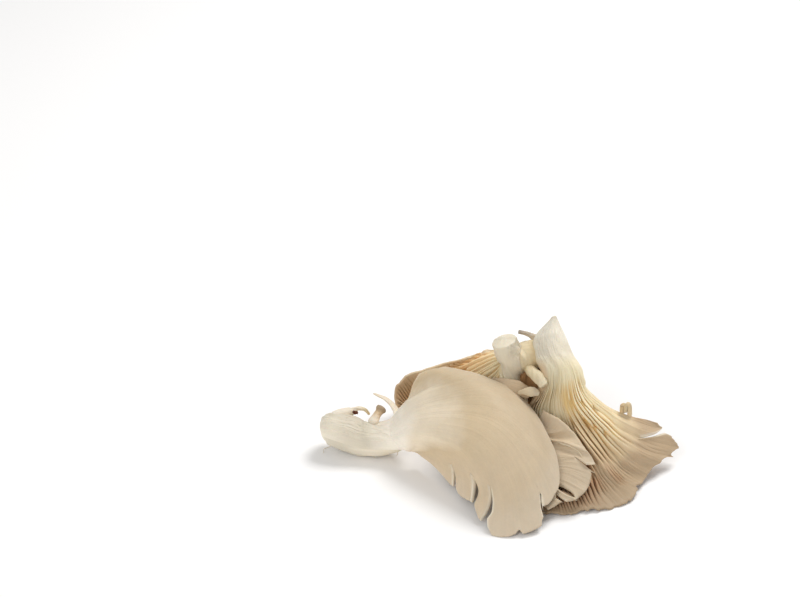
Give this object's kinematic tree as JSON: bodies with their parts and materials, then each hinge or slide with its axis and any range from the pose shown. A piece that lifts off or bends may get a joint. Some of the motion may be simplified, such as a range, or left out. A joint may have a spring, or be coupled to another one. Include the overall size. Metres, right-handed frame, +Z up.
{
  "type": "oyster mushroom cluster",
  "caption": "Cluster of fresh oyster mushrooms lying as picked: fan-shaped caps with torn margins, running gills and pale fibrous stems.",
  "frame": {"origin": "on the surface the cluster lies on, under the middle of its bounding box", "axes": "+X along the front mushroom's stem towards its cap, +Y to the back, +Z up"},
  "size_m": [0.1692, 0.103, 0.0609],
  "materials": {
    "cap": "soft matte cap skin, beige grey, paler at the stem",
    "gills": "cream gills with yellow folds, satin white stem flesh",
    "young_cap": "soft matte cap skin, grey beige, pale margin"
  },
  "bodies": {
    "root": {"front_mushroom": "cap", "rear_pair": "gills", "middle_mushroom": "young_cap"}
  },
  "joints": []
}
